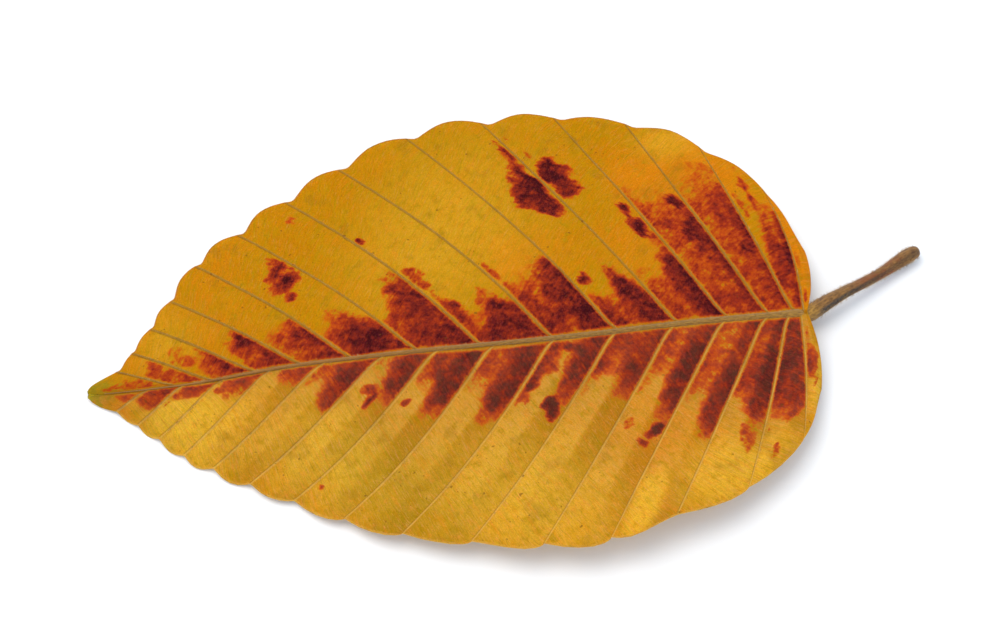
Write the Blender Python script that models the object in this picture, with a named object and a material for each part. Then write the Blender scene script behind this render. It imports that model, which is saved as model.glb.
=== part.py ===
"""One fallen beech leaf, lying with its upper face up: blade, midrib and stalk as a single solid.

Frame: +X runs along the midrib from the tip to the stalk, +Y across to the far half and +Z up.
The origin is at the bottom centre of the leaf's box, on the surface that it lies on.
Shape tables are in millimetres; the finished mesh is in metres.
"""
import math

import bmesh
import bpy
from mathutils import Vector

MM = 0.001

# Driving dimensions, in millimetres
BLADE_LENGTH = 90.2
BLADE_THICKNESS = 0.36
STALK_SIDES = 10
TIP_SWAY = 1.25
TIP_HALF_WIDTH = 0.5

# How the pleats and the cross section are shaped
FULL_PLEAT_RUN = 18
STEEPEST_PLEAT = 0.18
PLEAT_VALLEY = 0.35
PLEAT_ROUNDNESS = 0.9
PLEAT_RISE = 5
PLEAT_EDGE_FADE = 0.45
SLOPE_EASE = 0.45
LOBE_ROUNDNESS = 0.85
SHARP_ANGLE = math.radians(50)

# How finely the blade is divided
ROWS_PER_PANEL = 4
COLUMNS = 6
COLUMN_CROWDING = 1.1
MIDLINE_STEPS = 44
EDGE_STEP = 0.05

# Height of the midrib's top face above the table, by distance from the blade's base
MIDRIB_HEIGHT = ((0, 3.9), (12, 5.0), (28, 5.8), (44, 5.5), (60, 4.1), (75, 2.2), (BLADE_LENGTH, 0.45))

# How far the midrib wanders towards the far half, by distance from the blade's base
MIDRIB_SWAY = ((0, 0), (20, -0.3), (38, -0.7), (50, 0.1), (58, 0.3), (65, 0.65), (70, 0.55), (75, 0.4),
               (80, 0.7), (85, 0.75), (BLADE_LENGTH, TIP_SWAY))

# Each half is described by its side veins, counted from the blade's base edge (0) to the tip.
# starts: distance along the midrib where the vein leaves it.
# ends_along, ends_out: distance along the midrib line, and out from it, where the vein meets the edge.
# lift: height of the edge above the table.  bow: sideways bend of the vein, as a part of its length.
# pleat: height of the fold between two veins.
# lobe_depth, lobe_peak: how far the scalloped edge bulges in a panel, and where it bulges most.
# odd_lobes: panels whose lobe has its own peak and depth.  notch_lag: shift of the notches.
FAR_HALF = {
    "side": 1,
    "panels": 15,
    "starts": ((0, 0), (1, 0.5), (2, 1.9), (3, 5.2), (4, 10.4), (5, 16.7), (6, 24.4), (7, 32.3),
               (8, 41.0), (9, 49.0), (10, 57.0), (11, 63.4), (12, 69.0), (13, 74.4), (14, 79.4),
               (15, BLADE_LENGTH)),
    "ends_along": ((0, -1.2), (1, 2.6), (2, 9.6), (3, 18.4), (4, 27.4), (5, 36.8), (6, 46.5), (7, 55.6),
                   (8, 62.8), (9, 69.2), (10, 74.8), (11, 78.4), (12, 81.2), (13, 83.7), (14, 85.8),
                   (14.7, 89.2), (15, BLADE_LENGTH)),
    "ends_out": ((0, 8.8), (1, 18.6), (2, 26.1), (3, 30.9), (4, 33.0), (5, 33.2), (6, 32.15), (7, 28.6),
                 (8, 24.8), (9, 20.8), (10, 17.1), (11, 12.7), (12, 9.2), (13, 6.1), (14, 3.8),
                 (14.7, 2.55), (15, TIP_SWAY + TIP_HALF_WIDTH)),
    "lift": ((0, 3.2), (2, 1.6), (4, 0.6), (8, 0.6), (12, 0.8), (15, 0.45)),
    "bow": ((0, 0.07), (1, 0.055), (2, 0.015), (3, 0.01), (5, 0.02), (7, 0.045), (9, 0.035), (12, 0.02),
            (15, 0)),
    "pleat": ((0, 0.3), (3, 0.5), (8, 0.6), (12, 0.45), (15, 0.2)),
    "lobe_depth": ((0, 0), (1, 0.3), (2.4, 0.95), (3.4, 0.7), (4.4, 1.3), (5.5, 1.6), (6.4, 1.5),
                   (7.5, 1.25), (8.5, 1.35), (9.5, 1.3), (10.5, 0.8), (12.5, 0.45), (13.5, 0.3), (14.3, 0.3),
                   (15, 0)),
    "lobe_peak": ((0, 0.52), (15, 0.52)),
    "odd_lobes": {},
    "notch_lag": 0.12,
}
NEAR_HALF = {
    "side": -1,
    "panels": 16,
    "starts": ((0, 0), (1, 0.9), (3, 5.6), (5, 17.3), (6, 24.5), (7, 32.3), (8, 39.9), (9, 46.6),
               (10, 53.2), (11, 60.6), (12, 67.2), (13, 73.2), (14, 78.0), (15, 82.5), (16, BLADE_LENGTH)),
    "ends_along": ((0, -0.2), (1, 3.2), (2, 11.0), (3, 20.2), (5, 36.4), (7, 53), (9, 65.6), (11, 75),
                   (13, 81.3), (15, 86.2), (15.7, 89.3), (16, BLADE_LENGTH)),
    "ends_out": ((0, 10.0), (1, 16.7), (2, 22.7), (3, 25.6), (4, 27.2), (5, 26.8), (7, 22.7), (9, 16.1),
                 (11, 10.6), (12, 8.4), (13, 5.8), (15, 1.5), (15.7, -0.3), (16, TIP_HALF_WIDTH - TIP_SWAY)),
    "lift": ((0, 2.6), (2, 5.1), (3, 5.7), (4, 5.4), (6, 3.6), (8, 1.5), (10, 0.7), (16, 0.45)),
    "bow": ((0, 0.065), (1, 0.03), (4, 0), (7, 0.035), (9, 0.035), (11, 0.01), (16, 0.02)),
    "pleat": ((0, 0.6), (2, 0.95), (8, 1.0), (10, 0.75), (12, 0.4), (16, 0.2)),
    "lobe_depth": ((0, 0), (1, 0.15), (2, 0.35), (3, 0.5), (5, 0.8), (6.5, 0.5), (8, 0.8), (9, 0.8),
                   (11, 0.7), (12, 0.6), (13, 0.4), (14.5, 0.25), (15.5, 0.2), (16, 0)),
    "lobe_peak": ((0, 0.3), (6, 0.3), (8, 0.36), (10, 0.48), (16, 0.5)),
    "odd_lobes": {3: (0.66, 0.65)},
    "notch_lag": 0,
}

# Centre line of the stalk: distance past the blade's base, drift to the far side, height, radius
STALK = ((15.85, 8.2, 1.1, 0.5), (15.2, 7.95, 1.1, 0.84), (14, 7.4, 1.12, 0.94), (12.4, 6.5, 1.2, 0.8),
         (10.5, 5.4, 1.45, 0.68), (8, 4.1, 1.95, 0.68), (5, 2.7, 2.45, 0.78), (2.4, 1.4, 2.7, 0.96),
         (0.4, 0.4, 2.8, 1.04))

# The midrib as a rod: distance from the blade's base, depth of its centre below the top face, radius
MIDRIB = ((2, 0.50, 0.76), (6, 0.36, 0.58), (15, 0.32, 0.48), (30, 0.28, 0.42), (48, 0.25, 0.36),
          (64, 0.22, 0.31), (78, 0.19, 0.26), (85, 0.18, 0.22))

LEAF_COLOUR = (0.62, 0.33, 0.03, 1.0)
LEAF_ROUGHNESS = 0.55


def curve_value(pairs, at):
    """Value of a smooth curve that passes through (position, value) pairs."""
    last = len(pairs) - 1
    if at <= pairs[0][0]:
        return pairs[0][1]
    if at >= pairs[last][0]:
        return pairs[last][1]
    left = max(i for i in range(last) if pairs[i][0] <= at)
    slopes = []
    for i in (left, left + 1):
        before = pairs[max(i - 1, 0)]
        after = pairs[min(i + 1, last)]
        slopes.append((after[1] - before[1]) / (after[0] - before[0]))
    span = pairs[left + 1][0] - pairs[left][0]
    u = (at - pairs[left][0]) / span
    start, end = pairs[left][1], pairs[left + 1][1]
    return (start * (1 + 2 * u) * (1 - u) ** 2 + end * u * u * (3 - 2 * u)
            + span * (slopes[0] * u * (1 - u) ** 2 - slopes[1] * u * u * (1 - u)))


def midline_point(distance):
    """Point on the top of the midrib, at a distance from the blade's base."""
    return Vector((-distance, curve_value(MIDRIB_SWAY, distance), curve_value(MIDRIB_HEIGHT, distance)))


def edge_point(half, vein):
    """Where the line at this vein number meets the smooth edge, before the lobes are added."""
    along = curve_value(half["ends_along"], vein)
    out = curve_value(half["ends_out"], vein)
    return Vector((-along, half["side"] * out, curve_value(half["lift"], vein)))


def lobe_bulge(half, vein):
    """Outward bulge of the scalloped edge: nothing where a vein ends, most within a panel."""
    shifted = vein + half["notch_lag"]
    panel = math.floor(shifted)
    usual = (curve_value(half["lobe_peak"], vein), curve_value(half["lobe_depth"], vein))
    peak, depth = half["odd_lobes"].get(panel, usual)
    warp = math.log(0.5) / math.log(peak)
    return depth * abs(math.sin(math.pi * (shifted - panel) ** warp)) ** LOBE_ROUNDNESS


def outward(half, vein):
    """Direction in the plane that points out of the blade at its edge."""
    ahead = edge_point(half, min(vein + EDGE_STEP, half["panels"]))
    behind = edge_point(half, max(vein - EDGE_STEP, 0))
    run = (ahead - behind).to_2d().normalized()
    return Vector((run.y, -run.x)) * half["side"]


def pleat_height(half, vein, out):
    """Height of the fold between two veins, lower where the veins run close together."""
    low = max(vein - 0.5, 0)
    high = min(vein + 0.5, half["panels"])
    at_midrib = curve_value(half["starts"], high) - curve_value(half["starts"], low)
    at_edge = (edge_point(half, high) - edge_point(half, low)).to_2d().length
    width = at_midrib + (at_edge - at_midrib) * out
    return min(curve_value(half["pleat"], vein), STEEPEST_PLEAT * width)


def blade_point(half, vein, out):
    """Top face of the blade: vein counts the side veins, out goes from 0 at the midrib to 1 at the edge."""
    start = midline_point(curve_value(half["starts"], vein))
    end = edge_point(half, vein)
    run = (end - start).to_2d()
    bow = curve_value(half["bow"], vein) * 4 * out * (1 - out)
    side = Vector((run.y, -run.x)) * half["side"]
    flat = start.to_2d().lerp(end.to_2d(), out) + side * bow
    flat += outward(half, vein) * lobe_bulge(half, vein) * out ** 4
    ease = out * out * (3 - 2 * out)
    height = start.z + (end.z - start.z) * ((1 - SLOPE_EASE) * out + SLOPE_EASE * ease)
    ridge = abs(math.sin(math.pi * vein)) ** PLEAT_ROUNDNESS - PLEAT_VALLEY
    spread = min(1.0, run.length / FULL_PLEAT_RUN) * min(1.0, out * PLEAT_RISE)
    height += pleat_height(half, vein, out) * spread * ridge * (1 - PLEAT_EDGE_FADE * out)
    return Vector((flat.x, flat.y, height))


def row_numbers(half):
    """Vein numbers of the rows of points, with fewer in the narrow first panel."""
    numbers = [0.0, 0.5]
    for step in range(ROWS_PER_PANEL, half["panels"] * ROWS_PER_PANEL + 1):
        numbers.append(step / ROWS_PER_PANEL)
    return numbers


def add_faces_between(mesh, line_a, keys_a, line_b, keys_b):
    """Join two lines of points with triangles, stepping along whichever line is behind."""
    i = j = 0
    while i < len(line_a) - 1 or j < len(line_b) - 1:
        next_a = keys_a[i + 1] if i < len(line_a) - 1 else math.inf
        next_b = keys_b[j + 1] if j < len(line_b) - 1 else math.inf
        if next_a <= next_b:
            mesh.faces.new((line_a[i], line_a[i + 1], line_b[j]))
            i += 1
        else:
            mesh.faces.new((line_a[i], line_b[j + 1], line_b[j]))
            j += 1


def add_half(mesh, half, midline, midline_keys):
    """One half of the blade as a sheet that joins the midline."""
    numbers = row_numbers(half)
    rows = []
    for vein in numbers:
        outs = [(column / COLUMNS) ** COLUMN_CROWDING for column in range(1, COLUMNS + 1)]
        rows.append([mesh.verts.new(blade_point(half, vein, out)) for out in outs])
    for row, following in zip(rows, rows[1:]):
        for column in range(COLUMNS - 1):
            mesh.faces.new((row[column], row[column + 1], following[column + 1], following[column]))
    starts = [curve_value(half["starts"], vein) for vein in numbers]
    add_faces_between(mesh, [row[0] for row in rows], starts, midline, midline_keys)


def new_object(name, mesh):
    """Put a finished mesh into the scene, in metres."""
    bmesh.ops.recalc_face_normals(mesh, faces=mesh.faces)
    bmesh.ops.scale(mesh, vec=(MM, MM, MM), verts=mesh.verts)
    data = bpy.data.meshes.new(name)
    mesh.to_mesh(data)
    mesh.free()
    thing = bpy.data.objects.new(name, data)
    bpy.context.scene.collection.objects.link(thing)
    return thing


def make_blade():
    """The pleated blade: a sheet from edge to edge, thickened downwards."""
    mesh = bmesh.new()
    keys = [BLADE_LENGTH * (step / MIDLINE_STEPS) for step in range(MIDLINE_STEPS + 1)]
    midline = [mesh.verts.new(midline_point(distance)) for distance in keys]
    add_half(mesh, FAR_HALF, midline, keys)
    add_half(mesh, NEAR_HALF, midline, keys)
    blade = new_object("leaf", mesh)
    if sum(face.normal.z for face in blade.data.polygons) < 0:
        blade.data.flip_normals()
    shell = blade.modifiers.new("Thickness", "SOLIDIFY")
    shell.thickness = BLADE_THICKNESS * MM
    shell.offset = -1
    return blade


def stalk_rings():
    """Centre and radius of each ring of the rod that makes the stalk and the midrib."""
    rings = [(Vector((x, y, z)), radius) for x, y, z, radius in STALK]
    for distance, depth, radius in MIDRIB:
        rings.append((midline_point(distance) - Vector((0, 0, depth)), radius))
    return rings


def make_rod():
    """Stalk and midrib: one tapering rod from the rounded foot of the stalk to near the leaf's tip."""
    mesh = bmesh.new()
    rings = stalk_rings()
    loops = []
    for number, (centre, radius) in enumerate(rings):
        before = rings[max(number - 1, 0)][0]
        after = rings[min(number + 1, len(rings) - 1)][0]
        run = (after - before).normalized()
        across = run.cross(Vector((0, 0, 1))).normalized()
        up = across.cross(run)
        loop = []
        for side in range(STALK_SIDES):
            angle = 2 * math.pi * (side + 0.5) / STALK_SIDES
            loop.append(mesh.verts.new(centre + radius * (math.cos(angle) * across + math.sin(angle) * up)))
        loops.append(loop)
    for loop, following in zip(loops, loops[1:]):
        for side in range(STALK_SIDES):
            after = (side + 1) % STALK_SIDES
            mesh.faces.new((loop[side], loop[after], following[after], following[side]))
    mesh.faces.new(loops[0])
    mesh.faces.new(loops[-1])
    rod = new_object("rod", mesh)
    rod.hide_render = True
    rod.display_type = "WIRE"
    return rod


def make_material():
    """Autumn yellow; the stains and veins belong to the finished surface."""
    material = bpy.data.materials.new("leaf")
    material.use_nodes = True
    shader = material.node_tree.nodes["Principled BSDF"]
    shader.inputs["Base Color"].default_value = LEAF_COLOUR
    shader.inputs["Roughness"].default_value = LEAF_ROUGHNESS
    shader.inputs["Metallic"].default_value = 0.0
    return material


def centre_on_table(leaf, rod):
    """Move the leaf so that the bottom centre of its box is the origin."""
    bpy.context.view_layer.update()
    shape = leaf.evaluated_get(bpy.context.evaluated_depsgraph_get())
    corners = [point.co for point in shape.data.vertices]
    low = [min(corner[axis] for corner in corners) for axis in range(3)]
    high = [max(corner[axis] for corner in corners) for axis in range(3)]
    shift = Vector((-(low[0] + high[0]) / 2, -(low[1] + high[1]) / 2, -low[2]))
    leaf.location = shift
    rod.location = shift


def build():
    """Make the leaf."""
    for old in list(bpy.data.objects):
        bpy.data.objects.remove(old)
    leaf = make_blade()
    rod = make_rod()
    join = leaf.modifiers.new("Midrib and stalk", "BOOLEAN")
    join.operation = "UNION"
    join.solver = "EXACT"
    join.object = rod
    leaf.data.materials.append(make_material())
    leaf.data.shade_smooth()
    leaf.data.set_sharp_from_angle(angle=SHARP_ANGLE)
    centre_on_table(leaf, rod)


build()
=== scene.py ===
import math

import bpy
import bmesh
import numpy as np
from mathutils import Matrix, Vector


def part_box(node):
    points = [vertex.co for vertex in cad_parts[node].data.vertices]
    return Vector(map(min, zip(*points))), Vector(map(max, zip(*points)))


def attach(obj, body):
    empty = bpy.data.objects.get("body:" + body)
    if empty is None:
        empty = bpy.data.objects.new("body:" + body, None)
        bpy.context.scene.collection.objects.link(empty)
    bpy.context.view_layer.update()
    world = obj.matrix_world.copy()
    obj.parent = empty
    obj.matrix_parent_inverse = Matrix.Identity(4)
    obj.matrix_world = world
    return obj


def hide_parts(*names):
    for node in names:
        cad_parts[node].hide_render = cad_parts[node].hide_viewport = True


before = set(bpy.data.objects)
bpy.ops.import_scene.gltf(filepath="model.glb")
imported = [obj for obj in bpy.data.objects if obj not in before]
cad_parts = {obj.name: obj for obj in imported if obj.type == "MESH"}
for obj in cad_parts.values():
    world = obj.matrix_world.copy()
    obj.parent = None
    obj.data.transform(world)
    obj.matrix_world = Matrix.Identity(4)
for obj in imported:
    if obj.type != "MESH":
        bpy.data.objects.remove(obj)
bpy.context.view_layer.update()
print("frame loaded:", sorted(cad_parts))

mm = 0.001
leafLow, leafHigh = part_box("leaf")
leafCentre = (leafLow + leafHigh) / 2

view = {
    "turn": 7.0,           # degrees round the leaf, so that the stalk points up to the right
    "height": 64.0,        # degrees above the table
    "distance": 0.38252,
    "lens": 110.0,
    "aim": (-0.92, 1.98, 0.28),    # millimetres from the middle of the leaf's box, at its bottom
}


def makeCamera():
    turn, rise = math.radians(view["turn"]), math.radians(view["height"])
    look = Vector((math.sin(turn) * math.cos(rise), math.cos(turn) * math.cos(rise), -math.sin(rise)))
    lens = bpy.data.cameras.new("leafCamera")
    lens.lens = view["lens"]
    lens.sensor_width = 36.0
    lens.clip_start = 0.01
    camera = bpy.data.objects.new("leafCamera", lens)
    aim = Vector((leafCentre.x, leafCentre.y, leafLow.z)) + Vector(view["aim"]) * mm
    camera.location = aim - look * view["distance"]
    camera.rotation_euler = look.to_track_quat("-Z", "Y").to_euler()
    bpy.context.scene.collection.objects.link(camera)
    bpy.context.scene.camera = camera


makeCamera()
print("camera placed")


def curveValue(pairs, at):
    # smooth curve through (position, value) pairs; works on whole arrays
    places = np.array([pair[0] for pair in pairs], float)
    values = np.array([pair[1] for pair in pairs], float)
    count = len(places)
    before = np.maximum(np.arange(count) - 1, 0)
    after = np.minimum(np.arange(count) + 1, count - 1)
    slopes = (values[after] - values[before]) / (places[after] - places[before])
    at = np.clip(at, places[0], places[-1])
    left = np.clip(np.searchsorted(places, at, side="right") - 1, 0, count - 2)
    span = places[left + 1] - places[left]
    u = (at - places[left]) / span
    start = values[left] * (1 + 2 * u) * (1 - u) ** 2
    end = values[left + 1] * u * u * (3 - 2 * u)
    return start + end + span * (slopes[left] * u * (1 - u) ** 2 - slopes[left + 1] * u * u * (1 - u))


def softStep(low, high, value):
    u = np.clip((value - low) / (high - low), 0, 1)
    return u * u * (3 - 2 * u)


def softNoise(a, b, seed):
    # smooth random hills between -1 and 1, one hill for each unit of a and b
    cells = 128
    table = np.random.RandomState(seed).rand(cells, cells) * 2 - 1
    a, b = np.broadcast_arrays(np.asarray(a, float) + 500.3, np.asarray(b, float) + 500.7)
    i, j = np.floor(a).astype(int), np.floor(b).astype(int)
    u, v = a - i, b - j
    u, v = u * u * (3 - 2 * u), v * v * (3 - 2 * v)
    i, j = i % cells, j % cells
    nextI, nextJ = (i + 1) % cells, (j + 1) % cells
    near = table[i, j] * (1 - u) + table[nextI, j] * u
    far = table[i, nextJ] * (1 - u) + table[nextI, nextJ] * u
    return near * (1 - v) + far * v


def tint(red, green, blue):
    # everyday 0-255 colour to the linear values that shaders use
    parts = []
    for value in (red, green, blue):
        value = value / 255
        parts.append(value / 12.92 if value <= 0.04045 else ((value + 0.055) / 1.055) ** 2.4)
    return (*parts, 1.0)


# The leaf is made in millimetres: x runs from the blade's base (0) to the tip (negative), y to the
# far half and z up from the table.
# A place on a half is given by two numbers: vein, which counts the side veins from the base edge
# to the tip, and out, from 0 at the midrib to 1 at the edge.

bladeForm = {
    "length": 90.2,
    "thickness": 0.2,
    "ridgeRound": 0.10,       # how rounded the ridge along the middle of a pleat is
    "steepestPleat": 0.18,    # pleat height for each millimetre between two veins, at most
    "midribHeight": ((0, 3.9), (12, 5.0), (28, 5.8), (44, 5.5), (60, 4.1), (75, 2.2), (90.2, 0.45)),
    "midribSway": ((0, 0), (20, -0.3), (38, -0.7), (50, 0.1), (58, 0.3), (65, 0.65), (70, 0.55), (75, 0.4),
                   (80, 0.7), (85, 0.75), (90.2, 1.25)),
    "midribHalfWidth": ((0, 0.55), (6, 0.50), (20, 0.42), (45, 0.30), (65, 0.20), (80, 0.10), (90.2, 0.05)),
    "veinHeight": 0.09,
    "veinHalfWidth": 0.13,
    "ribLean": 25,            # degrees by which the cross ribs lean towards the midrib
    "channel": (0.16, 1.0),   # depth and width of the hollow beside the midrib
    "edgeCurl": (0.5, 0.9),   # how far the edge of a lobe curls down, and over what width
    "edgeRipple": 0.30,
    "wave": (0.18, 9.0),      # height and length of the wide unevenness
    "ribRelief": (0.035, 0.02),    # height of the cross ribs and of the fine grain on them
    "rows": (0, .015, .03, .045, .065, .10, .16, .24, .33, .42, .5, .58, .67, .76, .84, .90, .935, .955,
             .97, .985),
    "columns": 96,
    "underRows": (0, .02, .05, .12, .28, .5, .72, .88, .95, .98),
    "underColumns": 40,
    "mapCorner": (-93, -31),
    "mapSize": (100, 136),
}

# In each half every pair is (vein, value). "starts" is how far from the base a vein leaves the
# midrib, "endsAlong" and "endsOut" are where it meets the edge, "lift" is the edge's height above
# the table, "bow" how much the vein curves, and "lobeDepth" and "lobePeak" shape the edge's lobes.

farHalf = {
    "side": 1,
    "panels": 15,
    "starts": ((0, 0), (1, 0.5), (2, 1.9), (3, 5.2), (4, 10.4), (5, 16.7), (6, 24.4), (7, 32.3), (8, 41.0),
               (9, 49.0), (10, 57.0), (11, 63.4), (12, 69.0), (13, 74.4), (14, 79.4), (15, 90.2)),
    "endsAlong": ((0, -1.2), (1, 2.6), (2, 9.6), (3, 18.4), (4, 27.4), (5, 36.8), (6, 46.5), (7, 55.6),
                  (8, 62.8), (9, 69.2), (10, 74.8), (11, 78.4), (12, 81.2), (13, 83.7), (14, 85.8),
                  (14.7, 89.0), (15, 89.9)),
    "endsOut": ((0, 8.8), (1, 18.6), (2, 26.1), (3, 30.9), (4, 33.0), (5, 33.2), (6, 32.15), (7, 28.6),
                (8, 24.8), (9, 20.8), (10, 17.1), (11, 12.7), (12, 9.2), (13, 6.1), (14, 3.8), (14.7, 2.55),
                (15, 1.75)),
    "lift": ((0, 3.2), (2, 1.6), (4, 0.6), (8, 0.6), (12, 0.8), (15, 0.45)),
    "bow": ((0, 0.07), (1, 0.055), (2, 0.015), (3, 0.01), (5, 0.02), (7, 0.045), (9, 0.035), (12, 0.02),
            (15, 0)),
    "lobeDepth": ((0, 0), (1, 0.3), (2.4, 0.95), (3.4, 0.7), (4.4, 1.3), (5.5, 1.6), (6.4, 1.5), (7.5, 1.25),
                  (8.5, 1.35), (9.5, 1.3), (10.5, 0.8), (12.5, 0.45), (13.5, 0.3), (14.3, 0.3), (15, 0)),
    "lobePeak": ((0, 0.52), (15, 0.52)),
    "oddLobes": {},
    "notchLag": 0.12,
    "pleatHeight": ((0, 0.3), (3, 0.5), (8, 0.6), (12, 0.45), (15, 0.2)),
    "pleatCrest": 0.5,
    "seed": 11,
}
nearHalf = {
    "side": -1,
    "panels": 16,
    "starts": ((0, 0), (1, 0.9), (3, 5.6), (5, 17.3), (6, 24.5), (7, 32.3), (8, 39.9), (9, 46.6), (10, 53.2),
               (11, 60.6), (12, 67.2), (13, 73.2), (14, 78.0), (15, 82.5), (16, 90.2)),
    "endsAlong": ((0, -0.2), (1, 3.2), (2, 11.0), (3, 20.2), (5, 36.4), (7, 53), (9, 65.6), (11, 75),
                  (13, 81.3), (15, 86.2), (15.7, 89.1), (16, 89.9)),
    "endsOut": ((0, 10.0), (1, 16.7), (2, 22.7), (3, 25.6), (4, 27.2), (5, 26.8), (7, 22.7), (9, 16.1),
                (11, 10.6), (12, 8.4), (13, 5.8), (15, 1.5), (15.7, -0.3), (16, -0.75)),
    "lift": ((0, 2.6), (2, 5.1), (3, 5.7), (4, 5.4), (6, 3.6), (8, 1.5), (10, 0.7), (16, 0.45)),
    "bow": ((0, 0.065), (1, 0.03), (4, 0), (7, 0.035), (9, 0.035), (11, 0.01), (16, 0.02)),
    "lobeDepth": ((0, 0), (1, 0.15), (2, 0.35), (3, 0.5), (5, 0.8), (6.5, 0.5), (8, 0.8), (9, 0.8), (11, 0.7),
                  (12, 0.6), (13, 0.4), (14.5, 0.25), (15.5, 0.2), (16, 0)),
    "lobePeak": ((0, 0.3), (6, 0.3), (8, 0.36), (10, 0.48), (16, 0.5)),
    "oddLobes": {3: (0.66, 0.65)},     # this lobe peaks late
    "notchLag": 0,
    "pleatHeight": ((0, 0.6), (2, 0.95), (8, 1.0), (10, 0.75), (12, 0.4), (16, 0.2)),
    "pleatCrest": 0.45,
    "seed": 23,
}


def midline(distance):
    return (-distance, curveValue(bladeForm["midribSway"], distance),
            curveValue(bladeForm["midribHeight"], distance))


def edgeLine(half, vein):
    return -curveValue(half["endsAlong"], vein), half["side"] * curveValue(half["endsOut"], vein)


def lobeBulge(half, vein):
    shifted = vein + half["notchLag"]
    panel = np.floor(shifted)
    peak = curveValue(half["lobePeak"], vein)
    depth = curveValue(half["lobeDepth"], vein)
    for number, (oddPeak, oddDepth) in half["oddLobes"].items():
        peak = np.where(panel == number, oddPeak, peak)
        depth = np.where(panel == number, oddDepth, depth)
    wave = np.sin(np.pi * (shifted - panel) ** (math.log(0.5) / np.log(peak)))
    return depth * (np.sqrt(wave ** 2 + 0.012) - 0.11)


def panelWidth(half, vein, out, angle, edgeSpan):
    # distance between two neighbouring veins, from their starts at the midrib to the edge's span
    numbers = np.linspace(0, half["panels"], 400)
    spacing = np.gradient(curveValue(half["starts"], numbers), numbers)
    width = np.interp(vein, numbers, spacing) * np.sin(angle)
    return width * (1 - out) + edgeSpan * 0.85 * out


def pleatLift(half, vein, out, length, width):
    # each panel folds along its crest; the fold is lower in small panels and fades by the edge
    part = vein - np.floor(vein)
    crest = half["pleatCrest"]
    slope = np.where(part < crest, (crest - part) / crest, (part - crest) / (1 - crest))
    fold = 1 - np.sqrt(slope ** 2 + bladeForm["ridgeRound"] ** 2) - 0.4
    uneven = 1 + 0.22 * softNoise(np.floor(vein + 0.001) * 3.3, out * 2, half["seed"])
    size = np.minimum(1.0, length / 18) * uneven
    height = np.minimum(curveValue(half["pleatHeight"], vein), bladeForm["steepestPleat"] * width)
    return height * size * (1 - 0.55 * softStep(0.6, 0.95, out)) * fold * np.minimum(1.0, out * 6)


def halfPlaces(half, vein, out):
    # everything about places on one half: the smooth pleated sheet and the distances along it
    vein, out = np.broadcast_arrays(np.asarray(vein, float), np.asarray(out, float))
    side = half["side"]
    distance = curveValue(half["starts"], vein)
    startX, startY, startZ = midline(distance)
    startY = startY + side * 0.45 * curveValue(bladeForm["midribHalfWidth"], distance)
    endX, endY = edgeLine(half, vein)
    runX, runY = endX - startX, endY - startY
    length = np.hypot(runX, runY)
    bow = curveValue(half["bow"], vein) * 4 * out * (1 - out) * side
    x = startX + runX * out + runY * bow
    y = startY + runY * out - runX * bow
    # the veins leave the midrib in a short curve that starts along it
    x = x + 0.5 * np.exp(-out * length / 0.7) * softStep(0.5, 2.5, vein)
    # the lobes push the edge outwards
    step = 0.05
    aheadX, aheadY = edgeLine(half, np.minimum(vein + step, half["panels"]))
    backX, backY = edgeLine(half, np.maximum(vein - step, 0))
    span = np.hypot(aheadX - backX, aheadY - backY)
    bulge = lobeBulge(half, vein) * out ** 4 * side
    x = x + (aheadY - backY) / span * bulge
    y = y - (aheadX - backX) / span * bulge
    edgeZ = curveValue(half["lift"], vein)
    ease = out * out * (3 - 2 * out)
    z = startZ + (edgeZ - startZ) * (0.55 * out + 0.45 * ease)
    part = vein - np.floor(vein)
    width = panelWidth(half, vein, out, np.arctan2(np.abs(runY), -runX), span / (2 * step))
    z = z + pleatLift(half, vein, out, length, width)
    waveHeight, waveLength = bladeForm["wave"]
    wave = softNoise(x / waveLength, y / waveLength, half["seed"] + 1)
    z = z + waveHeight * wave * softStep(0, 0.3, out)
    # the base edge and the very tip have no side vein of their own
    toVein = np.minimum(part, 1 - part) * width
    toVein = np.where((vein < 0.5) | (vein > half["panels"] - 0.5), 9.0, toVein)
    return {"x": x, "y": y, "z": z, "vein": vein, "out": out, "part": part, "length": length,
            "toVein": toVein}


def addRelief(half, place, top):
    # side veins, the ribs between them, the channel by the midrib and the curl of the edge
    vein, out, length = place["vein"], place["out"], place["length"]
    fromRib = out * length
    fromEdge = (1 - out) * length
    veinWidth = bladeForm["veinHalfWidth"] * (1.35 - 0.6 * out) * (1 if top else 1.3)
    ridge = np.exp(-(place["toVein"] / veinWidth) ** 2)
    fade = softStep(0, 0.5, fromEdge) * np.minimum(1, length / 8)
    curlDepth, curlWidth = bladeForm["edgeCurl"]
    curl = curlDepth * np.exp(-fromEdge / curlWidth) * np.abs(np.sin(np.pi * place["part"]))
    ripple = bladeForm["edgeRipple"] * softNoise(vein * 1.9, out * 0.7, half["seed"] + 2)
    ripple = ripple * softStep(0.72, 1.0, out) * softStep(0.5, 2.0, vein) * np.minimum(1, length / 14)
    z = place["z"] - curl * softStep(0.4, 2, vein) + ripple
    if top:
        grainA, grainB = grainPlaces(half, place)
        channelDepth, channelWidth = bladeForm["channel"]
        ribs, grains = bladeForm["ribRelief"]
        z = z + bladeForm["veinHeight"] * ridge * fade
        z = z - channelDepth * np.exp(-fromRib / channelWidth) * softStep(0.3, 1.5, vein)
        z = z + ribs * softNoise(grainA / 0.9, grainB / 3.0, 5) * softStep(0.3, 1.2, place["toVein"])
        z = z + grains * softNoise(grainA / 0.5, grainB / 0.9, 6)
    else:
        z = z - bladeForm["thickness"] * (0.6 + 0.4 * softStep(0, 1, fromEdge))
        z = z - 1.9 * bladeForm["veinHeight"] * ridge * fade
    return z


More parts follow.
